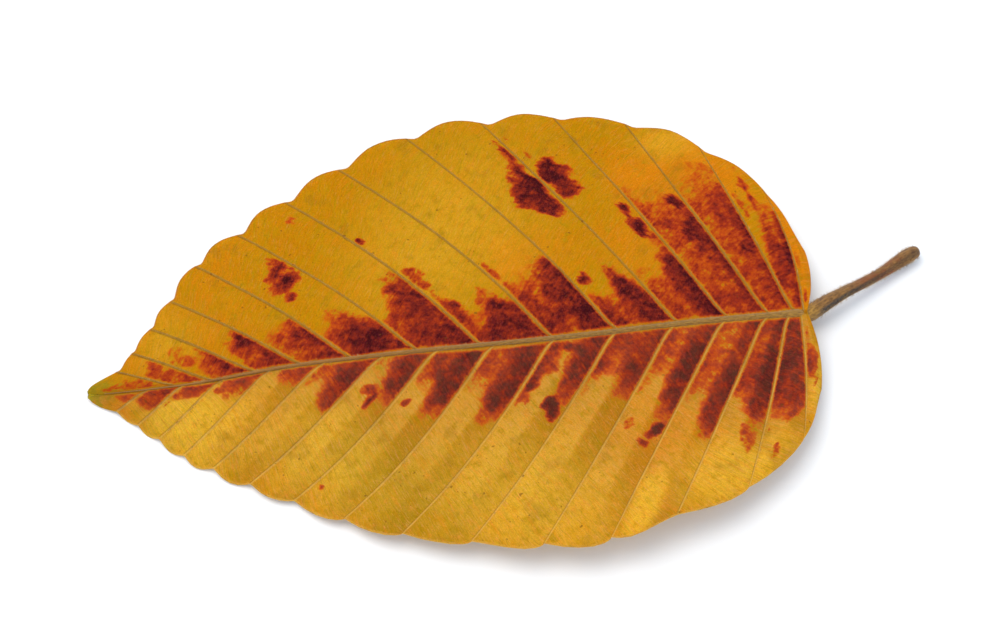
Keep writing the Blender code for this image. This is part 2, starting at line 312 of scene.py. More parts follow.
def grainPlaces(half, place):
    # two coordinates that run along and across the side veins everywhere, in millimetres
    numbers = np.linspace(0, half["panels"], 200)
    distance = curveValue(half["starts"], numbers)
    x, y, _ = midline(distance)
    endX, endY = edgeLine(half, numbers)
    angle = np.arctan2(np.abs(endY - y), x - endX)
    steps = np.diff(distance, prepend=0)
    alongStart = np.cumsum(steps * np.cos(angle))
    acrossStart = np.cumsum(steps * np.sin(angle))
    along = np.interp(place["vein"], numbers, alongStart) + place["out"] * place["length"]
    across = np.interp(place["vein"], numbers, acrossStart)
    across = across * (1 + 0.25 * place["out"])
    lean = math.radians(bladeForm["ribLean"])
    leaningAlong = along * math.cos(lean) + across * math.sin(lean)
    leaningAcross = across * math.cos(lean) - along * math.sin(lean)
    return leaningAlong, leaningAcross + (200 if half["side"] > 0 else 0)     # so that the halves differ


# Each panel between two veins has a stain that spreads from the midrib. "reach" is how far out it
# goes and "depth" how dark it is, at four places across the panel from its base vein to the next.
# A blot is (vein, out, half width in veins, half length in out, strength).

acrossPanel = (0.1, 0.35, 0.6, 0.9)

farStains = {
    "fade": ((0, .05), (1.5, .10), (3.5, .09), (5, .03), (9, .04), (15, .08)),
    "reach": {1: (.76, .66, .62, .34), 2: (.76, .74, .70, .64), 3: (.54, .56, .54, .60),
              4: (.38, .28, .20, .20), 5: (.18, .26, .12, .11), 6: (.34, .28, .24, .22),
              7: (.20, .24, .12, .12), 8: (.46, .42, .28, .18), 9: (.24, .28, .26, .18),
              10: (.37, .34, .30, .28), 11: (.55, .42, .42, .20), 12: (.52, .36, .26, .10),
              13: (.32, .32, .30, .26), 14: (.15, .42, .10, .0)},
    "depth": {1: (.86, .70, .60, .56), 2: (.80, .62, .56, .54), 3: (.90, .64, .54, .52),
              4: (.98, .88, .52, .66), 5: (.86, .95, .60, .78), 6: (1.0, 1.0, .66, .76),
              7: (.88, .92, .80, .60), 8: (.86, .90, .76, .70), 9: (.82, .90, .86, .76),
              10: (.74, .74, .66, .46), 11: (.80, .78, .60, .40), 12: (.75, .76, .60, .40),
              13: (.64, .62, .56, .50), 14: (.55, .62, .30, .10)},
    "blots": ((3.30, .38, .26, .10, .95), (3.22, .57, .14, .035, .95), (2.45, .35, .10, .04, .9),
              (2.15, .43, .16, .12, .85), (4.26, .435, .17, .045, 1.0), (4.20, .52, .10, .03, 1.0),
              (4.72, .67, .25, .065, .95), (4.78, .74, .16, .05, .95), (4.83, .82, .06, .03, .6),
              (4.88, .925, .05, .014, 1.0), (5.27, .58, .20, .06, .9), (5.30, .65, .30, .055, 1.0),
              (5.16, .74, .14, .05, .95), (5.10, .83, .08, .05, .8), (5.80, .225, .09, .025, .9),
              (5.85, .08, .10, .05, .75), (6.90, .24, .06, .03, .5), (6.92, .34, .06, .04, .45),
              (7.88, .19, .12, .09, .72), (7.90, .39, .10, .06, .55), (7.92, .675, .05, .016, 1.0),
              (9.64, .52, .15, .035, .75), (9.42, .61, .30, .05, .8), (9.36, .64, .16, .035, 1.0),
              (9.34, .70, .26, .035, .8), (9.17, .76, .08, .04, .7), (9.45, .33, .08, .05, .35),
              (12.70, .46, .26, .08, .34), (13.30, .46, .36, .22, .48), (8.3, .89, .10, .016, .4),
              (1.58, .82, .10, .12, .60), (1.86, .66, .07, .07, .6), (0.60, .14, .36, .07, .5),
              (2.30, .78, .36, .08, .26), (0.80, .42, .18, .14, .25),
              (13.7, .34, .34, .24, .52), (14.3, .34, .36, .26, .52), (12.5, .62, .25, .06, .26)),
}
nearStains = {
    "fade": ((0, .07), (3, .05), (8, .05), (12, .07), (16, .08)),
    "reach": {1: (.66, .68, .64, .58), 2: (.60, .60, .46, .38), 3: (.57, .55, .38, .36),
              4: (.45, .42, .22, .26), 5: (.31, .30, .16, .24), 6: (.28, .26, .08, .30),
              7: (.37, .35, .23, .20), 8: (.37, .37, .20, .16), 9: (.33, .30, .15, .08),
              10: (.41, .32, .18, .16), 11: (.20, .18, .07, .03), 12: (.27, .27, .18, .10),
              13: (.22, .26, .33, .34), 14: (.62, .66, .62, .50), 15: (.60, .50, .30, .0)},
    "depth": {1: (.72, .80, .84, .86), 2: (.98, .98, .62, .70), 3: (.90, .80, .42, .54),
              4: (.88, .82, .40, .56), 5: (.84, .80, .62, .76), 6: (.86, .84, .40, .66),
              7: (.90, .92, .58, .60), 8: (.88, .92, .76, .70), 9: (.85, .88, .56, .40),
              10: (.85, .84, .60, .60), 11: (.66, .62, .40, .30), 12: (.68, .70, .42, .40),
              13: (.70, .64, .56, .54), 14: (.80, .84, .80, .60), 15: (.56, .46, .30, .0)},
    "blots": ((4.17, .50, .12, .034, .95), (4.27, .525, .08, .02, .8), (4.26, .57, .13, .016, .85),
              (4.77, .46, .08, .03, .5), (6.72, .15, .12, .04, .6), (6.86, .22, .10, .04, .85),
              (6.34, .335, .10, .03, 1.0), (6.20, .385, .11, .03, 1.0), (6.62, .05, .28, .02, .8),
              (6.80, .29, .08, .03, .5), (8.78, .325, .08, .02, .7), (9.55, .27, .26, .04, .68),
              (9.42, .32, .09, .05, .95), (9.52, .08, .08, .04, .5), (11.52, .06, .12, .04, .5),
              (12.72, .19, .12, .06, .42), (13.85, .45, .07, .12, .35), (0.62, .46, .42, .13, .52),
              (0.80, .43, .22, .07, .68), (0.52, .66, .18, .05, .42), (0.75, .22, .22, .14, .36),
              (1.63, .86, .05, .055, .75), (2.32, .64, .16, .05, .52), (2.24, .72, .10, .04, .42),
              (1.40, .70, .16, .05, .5), (1.88, .69, .04, .016, .7), (8.86, .87, .05, .014, .5),
              (1.28, .74, .06, .03, .4)),
}

farTints = {
    "warm": ((0.3, .6, 1.0, .8, 1.0), (2.3, .80, .8, .18, 1.0), (3.4, .66, .8, .16, 1.0),
             (4.6, .34, .7, .16, .6), (1.6, .85, .5, .2, .6), (6.5, .35, .5, .10, .7),
             (11.5, .5, 1.4, .25, .5), (13.6, .6, 1.0, .4, .6), (9.9, .88, 1.4, .10, .5),
             (5.9, .33, .5, .12, .5)),
    "green": ((14.7, .6, .30, .5, .9), (6.0, .9, 1.6, .12, .35), (12.9, .72, .5, .2, .3),
              (1.35, .90, .2, .08, .5)),
    "lemon": ((7.0, .55, 2.2, .3, .45), (12.5, .75, 1.5, .3, .4), (2.6, .92, .6, .1, .5)),
}
nearTints = {
    "warm": ((3.8, .55, 1.6, .2, .55), (1.5, .8, .7, .12, .3), (12.6, .45, 1.9, .35, .8),
             (10.4, .6, 1.0, .2, .35), (15, .3, .8, .7, .8), (0.4, .4, .6, .5, .35),
             (3.7, .85, .5, .12, .5)),
    "green": ((7.4, .85, 2.2, .24, .8), (5.4, .82, .9, .22, .4), (9.6, .85, 1.0, .16, .35),
              (12.9, .78, .7, .12, .4), (2.9, .95, .5, .05, .3)),
    "lemon": ((2.2, .88, 1.2, .22, .8), (3.7, .88, .3, .16, 1.0), (12.8, .6, 2.0, .5, .9),
              (5.6, .8, 2.2, .3, .6), (9.5, .7, 1.8, .3, .6), (0.4, .7, .5, .4, .8)),
}


def blotField(blots, vein, out, raggedness, soft):
    # soft ovals in vein and out, the strongest one winning where they meet
    field = np.zeros_like(vein)
    for atVein, atOut, halfWidth, halfLength, strength in blots:
        across = (vein - atVein) / halfWidth
        along = (out - atOut + 0.12 * (vein - atVein)) / halfLength
        distance = np.sqrt(across ** 2 + along ** 2) + raggedness
        field = np.maximum(field, strength * (1 - softStep(1 - soft, 1 + soft, distance)))
    return field


def stainField(half, stains, place):
    # 0 on clean skin, up to 1 in the darkest stains, with soft borders that the shader roughens
    vein, out, part = place["vein"], place["out"], place["part"]
    panel = np.floor(vein + 1e-6).astype(int)
    x, y = place["x"], place["y"]
    ragged = 0.030 * softNoise(x / 1.3, y / 1.3, half["seed"] + 4)
    ragged = ragged + 0.025 * softNoise(x / 3.1, y / 3.1, half["seed"] + 5)
    fade = curveValue(stains["fade"], vein)
    field = np.zeros_like(vein)
    for number, reaches in stains["reach"].items():
        reach = np.interp(part, acrossPanel, reaches)
        depth = np.interp(part, acrossPanel, stains["depth"][number])
        inside = softStep(-0.06 - fade, 0.05 + fade, reach - out + ragged)
        field = np.where(panel == number, depth * inside, field)
    frayed = ragged * 12 + 0.30 * softNoise(x / 0.55, y / 0.55, half["seed"] + 6)
    blots = blotField(stains["blots"], vein, out, -frayed, 0.45)
    return np.maximum(field, blots)


print("leaf form ready")


def makeObject(name, mesh):
    data = bpy.data.meshes.new(name)
    mesh.to_mesh(data)
    mesh.free()
    made = bpy.data.objects.new(name, data)
    bpy.context.scene.collection.objects.link(made)
    return made


def rowNumbers(half, pattern):
    numbers = [panel + part for panel in range(half["panels"]) for part in pattern]
    return np.array(numbers + [half["panels"] - 0.02])


def addStrip(mesh, lineA, keysA, lineB, keysB, flip):
    # join two lines of points with triangles, stepping along whichever line is behind
    i = j = 0
    while i < len(lineA) - 1 or j < len(lineB) - 1:
        nextA = keysA[i + 1] if i < len(lineA) - 1 else math.inf
        nextB = keysB[j + 1] if j < len(lineB) - 1 else math.inf
        if nextA <= nextB:
            corners = (lineA[i], lineA[i + 1], lineB[j])
            i += 1
        else:
            corners = (lineA[i], lineB[j + 1], lineB[j])
            j += 1
        mesh.faces.new(corners[::-1] if flip else corners)


def colourMarks(half, stains, tints, place, top):
    # what the skin's finish has to know at each point
    vein, out, length = place["vein"], place["out"], place["length"]
    marks = {name: blotField(blots, vein, out, 0, 0.9) for name, blots in tints.items()}
    marks["stain"] = stainField(half, stains, place)
    marks["vein"] = vein * half["side"]
    marks["part"] = place["part"]
    marks["out"] = out
    marks["toVein"] = place["toVein"]
    marks["fromRib"] = out * length
    marks["fromEdge"] = (1 - out) * length + 9 * (vein > half["panels"] - 1)     # no edge rim at the tip
    marks["fromTip"] = place["x"] + bladeForm["length"]
    marks["upper"] = np.full(vein.shape, 1.0 if top else 0.0)
    marks["grain"] = np.stack([*grainPlaces(half, place), np.zeros_like(vein)], -1)
    return marks


def addSheetHalf(mesh, half, stains, tints, top, marks):
    # one face of one half as a grid of points, row by row along its veins
    pattern = bladeForm["rows"] if top else bladeForm["underRows"]
    columns = bladeForm["columns"] if top else bladeForm["underColumns"]
    numbers = rowNumbers(half, pattern)
    outs = np.linspace(0, 1, columns + 1)
    place = halfPlaces(half, numbers[:, None], outs[None, :])
    for name, values in colourMarks(half, stains, tints, place, top).items():
        marks.setdefault(name, []).append(values.ravel())
    points = np.stack([place["x"], place["y"], addRelief(half, place, top)], -1)
    rows = [[mesh.verts.new(point) for point in line] for line in points]
    flip = (half["side"] < 0) == top
    for row, following in zip(rows, rows[1:]):
        for column in range(columns):
            corners = (row[column], row[column + 1], following[column + 1], following[column])
            mesh.faces.new(corners[::-1] if flip else corners)
    return rows, numbers


def perimeter(farRows, farNumbers, nearRows, nearNumbers):
    # the sheet's border from the midrib's base round the far edge, the tip and the near edge; the
    # keys rise alike on both faces, so that the rim joins like places
    points, keys = [], []

    def walk(line, start, stop):
        points.extend(line)
        keys.extend(np.linspace(start, stop, len(line)))

    walk(farRows[0], 0, 1)
    points.extend(row[-1] for row in farRows[1:])
    keys.extend(1 + farNumbers[1:])
    walk(farRows[-1][-2::-1], 20, 21)
    walk(nearRows[-1], 21.5, 22.5)
    points.extend(row[-1] for row in nearRows[-2::-1])
    keys.extend(23 + (nearNumbers[-1] - nearNumbers[-2::-1]))
    walk(nearRows[0][-2::-1], 41, 42)
    return points + [points[0]], keys + [43]


def storeMarks(data, marks):
    for name, parts in marks.items():
        kind, slot = ("FLOAT_VECTOR", "vector") if name == "grain" else ("FLOAT", "value")
        layer = data.attributes.new(name, kind, "POINT")
        layer.data.foreach_set(slot, np.concatenate(parts).astype(np.float32))


def addFlatMap(data, upper):
    # flat map of the leaf in plan, with the underside in the map's upper half
    spots = np.array([(vert.co.x, vert.co.y) for vert in data.vertices])
    corners = np.array([loop.vertex_index for loop in data.loops])
    flat = (spots - bladeForm["mapCorner"]) / bladeForm["mapSize"]
    flat[:, 1] += np.where(upper > 0.5, 0.0, 0.5)
    data.uv_layers.new(name="OFBake").data.foreach_set("uv", flat[corners].astype(np.float32).ravel())


def makeBlade():
    mesh = bmesh.new()
    marks = {}
    borders = []
    for top in (True, False):
        farRows, farNumbers = addSheetHalf(mesh, farHalf, farStains, farTints, top, marks)
        nearRows, nearNumbers = addSheetHalf(mesh, nearHalf, nearStains, nearTints, top, marks)
        farKeys = curveValue(farHalf["starts"], farNumbers)
        nearKeys = curveValue(nearHalf["starts"], nearNumbers)
        addStrip(mesh, [row[0] for row in farRows], farKeys, [row[0] for row in nearRows], nearKeys, not top)
        borders.append(perimeter(farRows, farNumbers, nearRows, nearNumbers))
    addStrip(mesh, *borders[0], *borders[1], True)
    bmesh.ops.recalc_face_normals(mesh, faces=mesh.faces)
    made = makeObject("leafBlade", mesh)
    storeMarks(made.data, marks)
    addFlatMap(made.data, np.concatenate(marks["upper"]))
    made.data.shade_smooth()
    return made


blade = makeBlade()
print("blade:", len(blade.data.vertices), "points,", len(blade.data.polygons), "faces")

stalkForm = {
    # distance past the blade's base, drift to the far side, height of the centre, radius
    "stalk": ((15.85, 8.2, 1.1, 0.25), (15.7, 8.15, 1.1, 0.58), (15.2, 7.95, 1.1, 0.82),
              (14.0, 7.4, 1.12, 0.92), (12.4, 6.5, 1.2, 0.80), (10.5, 5.4, 1.45, 0.68),
              (8, 4.1, 1.95, 0.68), (5, 2.7, 2.45, 0.78), (2.4, 1.4, 2.70, 0.96), (0.6, 0.45, 2.70, 1.06),
              (-0.6, 0.0, 3.0, 0.95)),
    # distance from the blade's base, depth of the centre below the top face, radius
    "midrib": ((1.6, 0.46, 0.66), (4, 0.30, 0.48), (8, 0.24, 0.42), (15, 0.21, 0.38), (30, 0.18, 0.32),
               (48, 0.14, 0.25), (64, 0.10, 0.18), (76, 0.07, 0.12), (84, 0.05, 0.07), (87.5, 0.04, 0.04)),
    "sides": 28,
    "ringGap": 0.22,
    "fibres": 0.035,
    "groove": 0.16,
    "grooveTurn": (0.33, 0.44),     # where the groove lies round the stalk, at its foot and at the blade
    "grooveLength": 15,
}


def stalkPath():
    # evenly spaced centres and radii from the foot of the stalk to the tip of the midrib
    knots = [(x, y, z, radius) for x, y, z, radius in stalkForm["stalk"]]
    for distance, depth, radius in stalkForm["midrib"]:
        x, y, z = midline(distance)
        knots.append((float(x), float(y), float(z) - depth, radius))
    knots = np.array(knots)
    along = np.concatenate([[0], np.cumsum(np.linalg.norm(np.diff(knots[:, :3], axis=0), axis=1))])
    count = int(along[-1] / stalkForm["ringGap"])
    even = np.linspace(0, along[-1], count)
    even = np.concatenate([np.linspace(0, 0.6, 8)[:-1], even[even > 0.6]])
    columns = [curveValue(list(zip(along, knots[:, axis])), even) for axis in range(4)]
    return even, np.stack(columns, -1)


def stalkSizes(along, radii):
    # radius at every side of every ring, with fibres all along and a groove on the free stalk
    count = stalkForm["sides"]
    sides = np.arange(count)
    fibre = softNoise(sides * 0.9, along[:, None] / 3.5, 31)
    fibre = fibre + 0.6 * softNoise(sides * 0.5, along[:, None] / 0.5, 32)
    grooveAngle = 2 * math.pi * np.interp(along, (0, stalkForm["grooveLength"]), stalkForm["grooveTurn"])
    toGroove = (2 * math.pi * sides / count - grooveAngle[:, None] + math.pi) % (2 * math.pi) - math.pi
    attached = softStep(13.5, 17.5, along)          # 0 on the free stalk, 1 on the midrib
    depth = stalkForm["groove"] * (1 - attached) * softStep(0.4, 2.0, along)
    groove = depth[:, None] * np.exp(-(toGroove / 0.33) ** 2)
    return radii[:, None] * (1 + stalkForm["fibres"] * fibre - groove)


def makeStalk():
    along, path = stalkPath()
    mesh = bmesh.new()
    count = stalkForm["sides"]
    sizes = stalkSizes(along, path[:, 3])
    run = np.gradient(path[:, :3], axis=0)
    run = run / np.linalg.norm(run, axis=1)[:, None]
    rings = []
    for centre, forward, radii in zip(path[:, :3], run, sizes):
        across = Vector(forward).cross(Vector((0, 0, 1))).normalized()
        up = across.cross(Vector(forward))
        ring = []
        for side in range(count):
            angle = 2 * math.pi * side / count
            away = math.cos(angle) * across + math.sin(angle) * up
            ring.append(mesh.verts.new(Vector(centre) + float(radii[side]) * away))
        rings.append(ring)
    for ring, following in zip(rings, rings[1:]):
        for side in range(count):
            after = (side + 1) % count
            mesh.faces.new((ring[side], ring[after], following[after], following[side]))
    mesh.faces.new(rings[0])
    mesh.faces.new(rings[-1])
    bmesh.ops.recalc_face_normals(mesh, faces=mesh.faces)
    made = makeObject("leafStalk", mesh)
    turns = np.tile(np.arange(count) / count, len(along))
    storeMarks(made.data, {"along": [np.repeat(along, count)], "turn": [turns]})
    made.data.shade_smooth()
    return made


stalk = makeStalk()
print("stalk and midrib:", len(stalk.data.vertices), "points")

hairForm = {
    "stalkCount": 2200,
    "ribCount": 3200,
    "perVein": 80,
    "length": (0.20, 0.55),
    "veinLength": (0.25, 0.55),
    "radius": 0.013,
    "seed": 41,
}


def addHair(mesh, root, direction, length, droop):
    # a three-sided tapering hair that bends over at half its length
    side = direction.orthogonal().normalized()
    other = direction.cross(side)
    middle = root + direction * length * 0.5
    end = root + direction * length - Vector((0, 0, droop * length))
    rings = []
    for centre, radius in ((root, hairForm["radius"]), (middle, hairForm["radius"] * 0.7)):
        ring = []
        for corner in range(3):
            angle = 2 * math.pi * corner / 3
            ring.append(mesh.verts.new(centre + radius * (math.cos(angle) * side + math.sin(angle) * other)))
        rings.append(ring)
    point = mesh.verts.new(end)
    low, high = rings
    for corner in range(3):
        after = (corner + 1) % 3
        mesh.faces.new((low[corner], low[after], high[after], high[corner]))
        mesh.faces.new((high[corner], high[after], point))


def addRodHairs(mesh, random, along, path, stretch, count, scale):
    # hairs that stand off the stalk or the midrib and lean towards the tip
    shortest, longest = hairForm["length"]
    start, stop = stretch
    for _ in range(count):
        at = start + (stop - start) * random.rand()
        x, y, z, radius = (float(np.interp(at, along, path[:, axis])) for axis in range(4))
        ahead = [float(np.interp(at + 0.3, along, path[:, axis])) for axis in range(3)]
        forward = (Vector(ahead) - Vector((x, y, z))).normalized()
        across = forward.cross(Vector((0, 0, 1))).normalized()
        angle = math.pi * (1.3 * random.rand() - 0.15)
        away = math.cos(angle) * across + math.sin(angle) * across.cross(forward)
        lean = Vector(random.rand(3) - 0.5) * 0.9 + forward * (0.9 * random.rand() - 0.1)
        length = (shortest + (longest - shortest) * random.rand()) * scale
        addHair(mesh, Vector((x, y, z)) + away * radius * 0.95, (away + lean).normalized(), length, 0.12)


def addVeinHairs(mesh, random, half):
    # short hairs that lie nearly flat along the side veins
    shortest, longest = hairForm["veinLength"]
    for vein in range(1, half["panels"]):
        outs = random.rand(hairForm["perVein"]) ** 1.3 * 0.92
        veins = vein + (random.rand(len(outs)) - 0.5) * 0.05
        here, ahead = halfPlaces(half, veins, outs), halfPlaces(half, veins, outs + 0.02)
        height, nextHeight = addRelief(half, here, True), addRelief(half, ahead, True)
        for i in range(len(outs)):
            root = Vector((float(here["x"][i]), float(here["y"][i]), float(height[i])))
            forward = Vector((float(ahead["x"][i]), float(ahead["y"][i]), float(nextHeight[i]))) - root
            forward = forward.normalized() + Vector(random.rand(3) - 0.5) * 0.9
            forward.z = abs(forward.z) * 0.6 + 0.12
            addHair(mesh, root, forward.normalized(), shortest + (longest - shortest) * random.rand(), 0.1)


def makeHairs():
    mesh = bmesh.new()
    random = np.random.RandomState(hairForm["seed"])
    along, path = stalkPath()
    addRodHairs(mesh, random, along, path, (0.5, 16.5), hairForm["stalkCount"], 0.9)
    addRodHairs(mesh, random, along, path, (16.0, 95.0), hairForm["ribCount"], 0.7)
    addVeinHairs(mesh, random, farHalf)
    addVeinHairs(mesh, random, nearHalf)
    return makeObject("leafHairs", mesh)


hairs = makeHairs()
print("hairs:", len(hairs.data.polygons), "faces")


class Nodes:
    # short names for the node calls that every finish uses
    def __init__(self, name):
        self.material = bpy.data.materials.new(name)
        self.material.use_nodes = True
        self.tree = self.material.node_tree
        self.shader = self.tree.nodes["Principled BSDF"]

    def link(self, source, target):
        self.tree.links.new(source, target)

    def put(self, socket, value):
        if isinstance(value, (int, float, tuple, list)):
            socket.default_value = value
        else:
            self.link(value, socket)

    def mark(self, name, vector=False):
        node = self.tree.nodes.new("ShaderNodeAttribute")
        node.attribute_name = name
        return node.outputs["Vector" if vector else "Fac"]

    def maths(self, operation, a, b=0.0, clamp=False):
        node = self.tree.nodes.new("ShaderNodeMath")
        node.operation = operation
        node.use_clamp = clamp
        self.put(node.inputs[0], a)
        self.put(node.inputs[1], b)
        return node.outputs[0]

    def stretch(self, vector, scale):
        node = self.tree.nodes.new("ShaderNodeMapping")
        self.put(node.inputs["Vector"], vector)
        node.inputs["Scale"].default_value = scale
        return node.outputs["Vector"]

    def noise(self, vector, scale, detail=3.0, rough=0.55, distortion=0.0):
        node = self.tree.nodes.new("ShaderNodeTexNoise")
        self.put(node.inputs["Vector"], vector)
        node.inputs["Scale"].default_value = scale
        node.inputs["Detail"].default_value = detail
        node.inputs["Roughness"].default_value = rough
        node.inputs["Distortion"].default_value = distortion
        return node.outputs["Fac"]

    def step(self, value, low, high, toLow=0.0, toHigh=1.0):
        node = self.tree.nodes.new("ShaderNodeMapRange")
        node.interpolation_type = "SMOOTHSTEP"
        self.put(node.inputs["Value"], value)
        for socket, number in zip(("From Min", "From Max", "To Min", "To Max"), (low, high, toLow, toHigh)):
            node.inputs[socket].default_value = number
        return node.outputs["Result"]

    def blend(self, factor, a, b, how="MIX"):
        node = self.tree.nodes.new("ShaderNodeMix")
        node.data_type = "RGBA"
        node.blend_type = how
        self.put(node.inputs["Factor"], factor)
        self.put(node.inputs[6], a)
        self.put(node.inputs[7], b)
        return node.outputs[2]

    def ramp(self, value, stops):
        node = self.tree.nodes.new("ShaderNodeValToRGB")
        self.put(node.inputs["Fac"], value)
        ramp = node.color_ramp
        while len(ramp.elements) < len(stops):
            ramp.elements.new(0.5)
        for element, (place, colour) in zip(ramp.elements, stops):
            element.position = place
            element.color = colour
        return node.outputs["Color"]

    def place(self):
        # place on the object in millimetres
        metres = self.tree.nodes.new("ShaderNodeTexCoord").outputs["Object"]
        return self.stretch(metres, (1000, 1000, 1000))

    def centred(self, value, size):
        # noise moved to swing evenly about zero
        return self.maths("MULTIPLY", self.maths("SUBTRACT", value, 0.5), size)

    def spread(self, amount, noise, swing, most):
        # a soft area whose border is broken up by noise
        edge = self.maths("ADD", amount, self.maths("MULTIPLY", self.centred(noise, swing * 2), amount))
        return self.step(edge, 0.05, 0.95, 0.0, most)

    def grey(self, value):
        node = self.tree.nodes.new("ShaderNodeCombineColor")
        for socket in node.inputs:
            self.link(value, socket)
        return node.outputs["Color"]

    def bump(self, height, strength, distance, normal=None):
        node = self.tree.nodes.new("ShaderNodeBump")
        node.inputs["Strength"].default_value = strength
        node.inputs["Distance"].default_value = distance
        self.put(node.inputs["Height"], height)
        if normal is not None:
            self.link(normal, node.inputs["Normal"])
        return node.outputs["Normal"]

skin = {
    "gold": tint(197, 137, 3),
    "deepGold": tint(190, 124, 2),
    "warm": tint(216, 126, 12),
    "green": tint(160, 134, 8),
    # painted highlight for the pleat flanks that face the light
    "paintedFlankHighlight": tint(207, 150, 50),
    "lemon": tint(232, 180, 44),
    "halo": tint(200, 104, 14),
    "stainOrange": tint(194, 80, 20),
    "stainRed": tint(168, 54, 22),
    "stainBrown": tint(134, 38, 24),
    "stainMaroon": tint(92, 22, 22),
    "stainDark": tint(64, 12, 18),
    "veinFar": tint(164, 122, 48),
    "veinNear": tint(218, 168, 74),
    "veinBorder": tint(196, 126, 26),
    # painted shade in the crease beside each vein
    "paintedCreaseShade": tint(120, 84, 30),
    # painted sheen on the near half
    "paintedSheen": tint(224, 150, 96),
    # a dull tone, also used as painted shade on the pleat flanks that face away from the light
    "dullToneAndFlankShade": tint(150, 104, 20),
    "ribLight": tint(222, 158, 92),
    "ribDark": tint(150, 112, 12),
    "speck": tint(112, 66, 24),
    "tipGreen": tint(140, 134, 30),
    # edge rims: dry golden brown on the far half, a pale painted highlight on the near half
    "edgeFar": tint(176, 116, 40),
    "edgeNear": tint(220, 168, 72),
    "fleck": tint(178, 92, 66),
    "under": tint(238, 176, 26),
    "underVein": tint(206, 164, 80),
    "roughness": 0.6,
    "gloss": 0.015,
    "glow": 0.45,             # share of the light that spreads inside the blade
    "glowDepth": 0.0006,
}


def skinNoises(n):
    # from wide clouds to fine hairs; the last three run along the cross ribs
    place = n.place()
    grain = n.mark("grain", vector=True)
    return {
        "clouds": n.noise(place, 0.33, 3, 0.55),
        "patches": n.noise(place, 0.9, 4, 0.6),
        "specks": n.noise(place, 1.7, 1, 0.4),
        "cells": n.noise(place, 2.2, 2, 0.5),
        "fine": n.noise(place, 6.0, 3, 0.65),
        "ribs": n.noise(n.stretch(grain, (2.8, 0.30, 1)), 1.0, 3, 0.6, 0.5),
        "threads": n.noise(n.stretch(grain, (6.5, 0.9, 1)), 1.0, 3, 0.65, 0.4),
        "hairs": n.noise(n.stretch(grain, (11, 4, 1)), 1.0, 2, 0.6),
    }


def cleanSkin(n, noise, near):
    # gold skin with wide tints, painted highlight and painted shade on the pleat flanks, and the threads of
    # the cross ribs
    clouds, patches, ribs, threads = (noise[name] for name in ("clouds", "patches", "ribs", "threads"))
    part, out = n.mark("part"), n.mark("out")
    colour = n.blend(n.step(clouds, 0.36, 0.64), skin["gold"], skin["deepGold"])
    # on the near half each pleat gets a painted highlight on the flank that faces the light and painted shade
    # on the other flank
    litFlank = n.maths("MULTIPLY", n.step(part, 0.40, 0.50), near)
    litFlank = n.maths("MULTIPLY", litFlank, n.step(out, 0.96, 0.66))
    litFlank = n.maths("MULTIPLY", litFlank, n.step(patches, 0.25, 0.6, 0.35, 0.85))
    colour = n.blend(litFlank, colour, skin["paintedFlankHighlight"])
    shaded = n.maths("MULTIPLY", n.step(part, 0.48, 0.38, 0.0, 0.40), near)
    shaded = n.maths("MULTIPLY", shaded, n.step(clouds, 0.30, 0.60, 0.3, 1.0))
    colour = n.blend(shaded, colour, skin["dullToneAndFlankShade"])
    for name, swing, most in (("warm", 0.35, 0.8), ("green", 0.8, 0.6), ("lemon", 0.7, 0.85)):
        colour = n.blend(n.spread(n.mark(name), patches, swing, most), colour, skin[name])
    colour = n.blend(n.step(patches, 0.54, 0.72, 0.0, 0.42), colour, skin["warm"])
    colour = n.blend(n.step(patches, 0.44, 0.28, 0.0, 0.42), colour, skin["green"])
    colour = n.blend(n.step(clouds, 0.44, 0.30, 0.0, 0.30), colour, skin["dullToneAndFlankShade"])
    # cross ribs show as pale and dark threads, stronger on the near half
    ribStrength = n.maths("ADD", n.maths("MULTIPLY", near, 0.5), 0.5)
    pale = n.maths("MULTIPLY", n.step(threads, 0.52, 0.68, 0.0, 0.42), ribStrength)
    colour = n.blend(pale, colour, skin["ribLight"])
    dark = n.maths("MULTIPLY", n.step(threads, 0.48, 0.32, 0.0, 0.42), ribStrength)
    colour = n.blend(dark, colour, skin["ribDark"])
    colour = n.blend(n.step(ribs, 0.50, 0.66, 0.0, 0.30), colour, skin["warm"])
    colour = n.blend(n.step(ribs, 0.48, 0.34, 0.0, 0.28), colour, skin["green"])
    # the very tip has stayed green
    tip = n.step(n.maths("ADD", n.mark("fromTip"), n.centred(patches, 9.0)), 4.0, 0.0, 0.0, 0.8)
    return n.blend(tip, colour, skin["tipGreen"])


